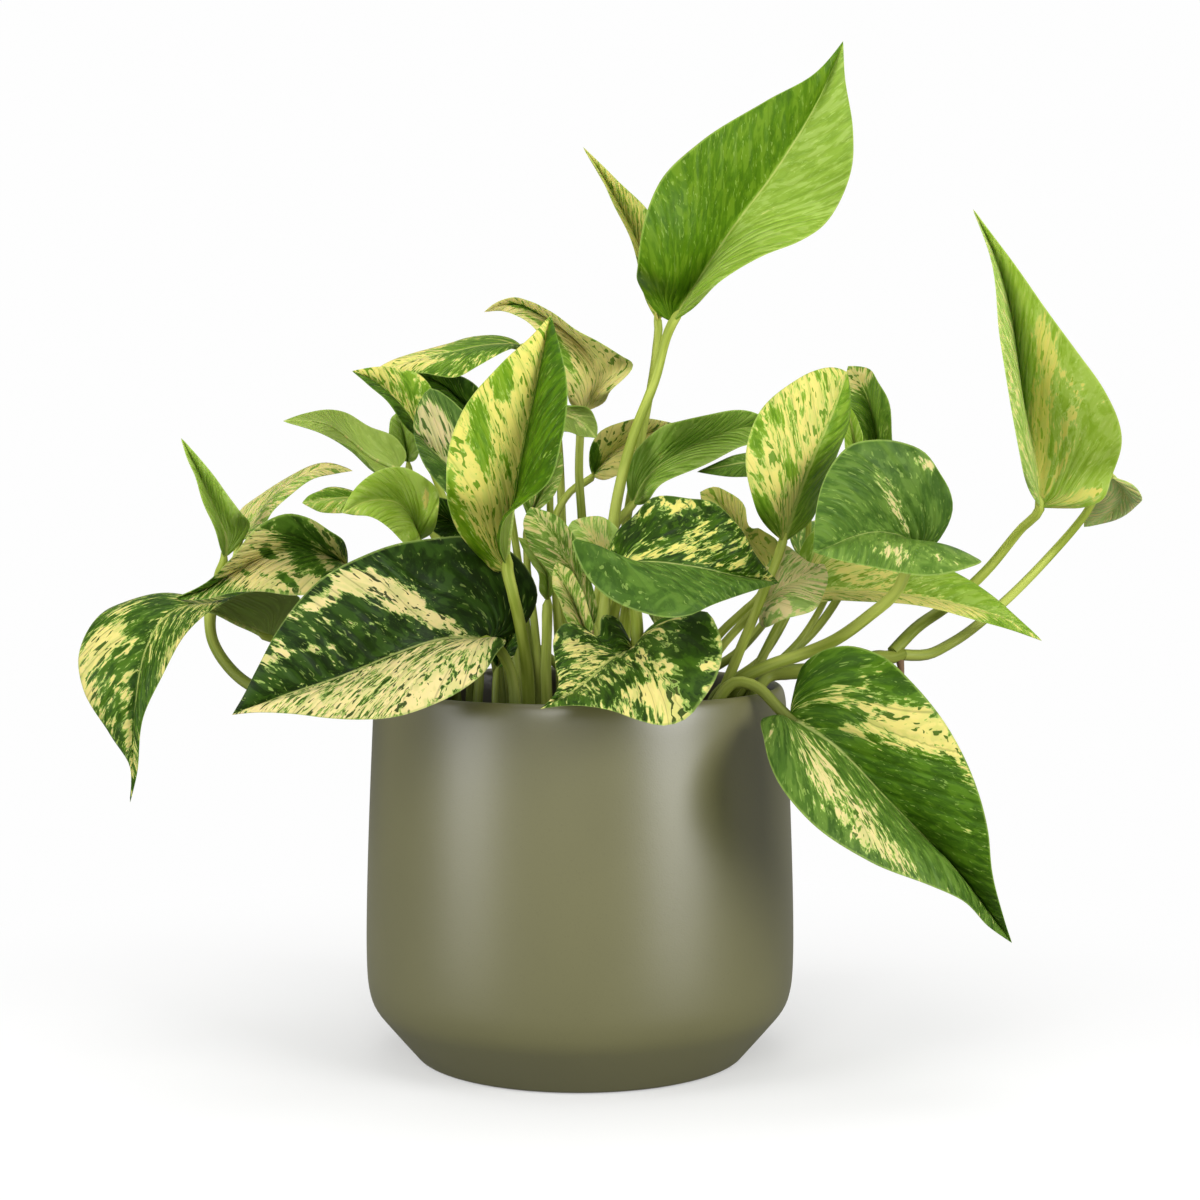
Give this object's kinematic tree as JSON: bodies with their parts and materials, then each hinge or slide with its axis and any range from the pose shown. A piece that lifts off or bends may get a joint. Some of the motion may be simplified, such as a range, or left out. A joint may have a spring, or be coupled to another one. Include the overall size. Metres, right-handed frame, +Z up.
{
  "type": "potted marble queen pothos",
  "caption": "Marble queen pothos in a round matte sage ceramic pot: cream and green marbled leaves on arching stalks that rise and trail from the soil.",
  "frame": {"origin": "middle of the pot's flat underside", "axes": "+Z up along the pot's axis, -Y towards the viewer of the picture, +X to the right in it"},
  "size_m": [0.3706, 0.2173, 0.3512],
  "materials": {
    "ceramic": "matte glazed ceramic, warm grey green",
    "soil": "loose dark potting mix",
    "vine_green": "smooth pale green stem",
    "leaf_green": "waxy plain green leaf",
    "leaf_marbled": "waxy leaf marbled in green and cream",
    "leaf_cream": "waxy leaf, mostly cream"
  },
  "bodies": {
    "root": {"pot": "ceramic", "soil": "soil", "vine_left": "vine_green", "vine_right": "vine_green", "leaf_tall": "leaf_green", "leaf_peek": "leaf_cream", "leaf_right_high": "leaf_marbled", "leaf_right_under": "leaf_marbled", "leaf_centre": "leaf_cream", "leaf_arching": "leaf_cream", "leaf_upper_left": "leaf_marbled", "leaf_beak": "leaf_marbled", "leaf_dark_back": "leaf_marbled", "leaf_marbled_back": "leaf_marbled", "leaf_olive": "leaf_marbled", "leaf_olive_back": "leaf_marbled", "leaf_bright": "leaf_marbled", "leaf_under_bright": "leaf_green", "leaf_small_tip": "leaf_marbled", "leaf_spear": "leaf_marbled", "leaf_wing": "leaf_marbled", "leaf_shield": "leaf_marbled", "leaf_hanging": "leaf_marbled", "leaf_big_left": "leaf_marbled", "leaf_front": "leaf_marbled", "leaf_folded": "leaf_marbled", "leaf_mottled": "leaf_marbled", "leaf_round_pale": "leaf_marbled", "leaf_cream_right": "leaf_cream", "leaf_round_dark": "leaf_green", "leaf_slip": "leaf_green", "leaf_plain": "leaf_green", "leaf_cream_small": "leaf_cream", "leaf_sliver": "leaf_green", "leaf_little_fold": "leaf_marbled", "leaf_disc": "leaf_marbled", "leaf_long_tip": "leaf_marbled", "leaf_low_right": "leaf_marbled", "leaf_inner_marbled": "leaf_marbled", "leaf_inner_cup": "leaf_marbled", "leaf_inner_light": "leaf_marbled", "leaf_ribbon": "leaf_marbled", "leaf_back_sliver": "leaf_marbled", "leaf_low_inner": "leaf_green", "leaf_back_fan": "leaf_marbled", "leaf_back_low": "leaf_marbled", "leaf_back_right": "leaf_marbled", "leaf_back_left": "leaf_marbled", "leaf_back_small": "leaf_marbled"}
  },
  "joints": []
}
